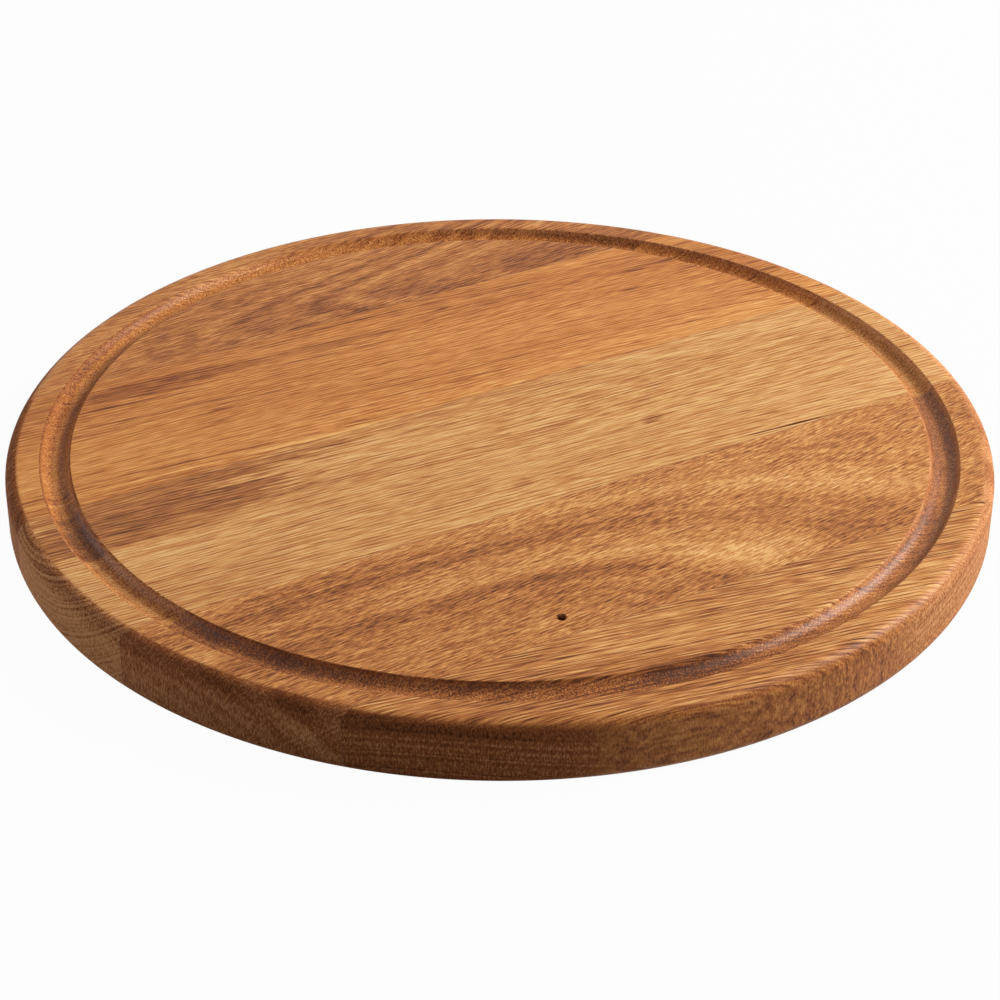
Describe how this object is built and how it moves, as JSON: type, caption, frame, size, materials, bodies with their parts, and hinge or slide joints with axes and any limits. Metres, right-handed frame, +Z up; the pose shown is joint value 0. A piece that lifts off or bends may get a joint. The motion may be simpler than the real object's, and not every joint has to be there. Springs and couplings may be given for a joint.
{
  "type": "steak board",
  "caption": "Round oiled-oak steak board, edge-glued from staves, with rounded rims and a shallow juice groove that runs round the carving field.",
  "frame": {"origin": "middle of the flat underside, on the surface that the board stands on", "axes": "+Z up through the board's thickness; +X along the grain and the glue lines; +Y across the staves, away from the viewer of the picture"},
  "size_m": [0.3, 0.3, 0.02],
  "materials": {
    "oak_back_edge": "sanded and oiled oak, looped flat-sawn figure",
    "oak_back_inner": "sanded and oiled oak, straight rift grain",
    "oak_centre": "sanded and oiled oak, pale flat-sawn figure",
    "oak_front_inner": "sanded and oiled oak, bold arched figure",
    "oak_front_edge": "sanded and oiled oak, slanting straight grain",
    "glue": "cured wood glue, sanded flush and oiled"
  },
  "bodies": {
    "root": {"back_edge_stave": "oak_back_edge", "back_inner_stave": "oak_back_inner", "centre_stave": "oak_centre", "front_inner_stave": "oak_front_inner", "front_edge_stave": "oak_front_edge", "back_edge_glue_line": "glue", "back_inner_glue_line": "glue", "front_inner_glue_line": "glue", "front_edge_glue_line": "glue"}
  },
  "joints": []
}
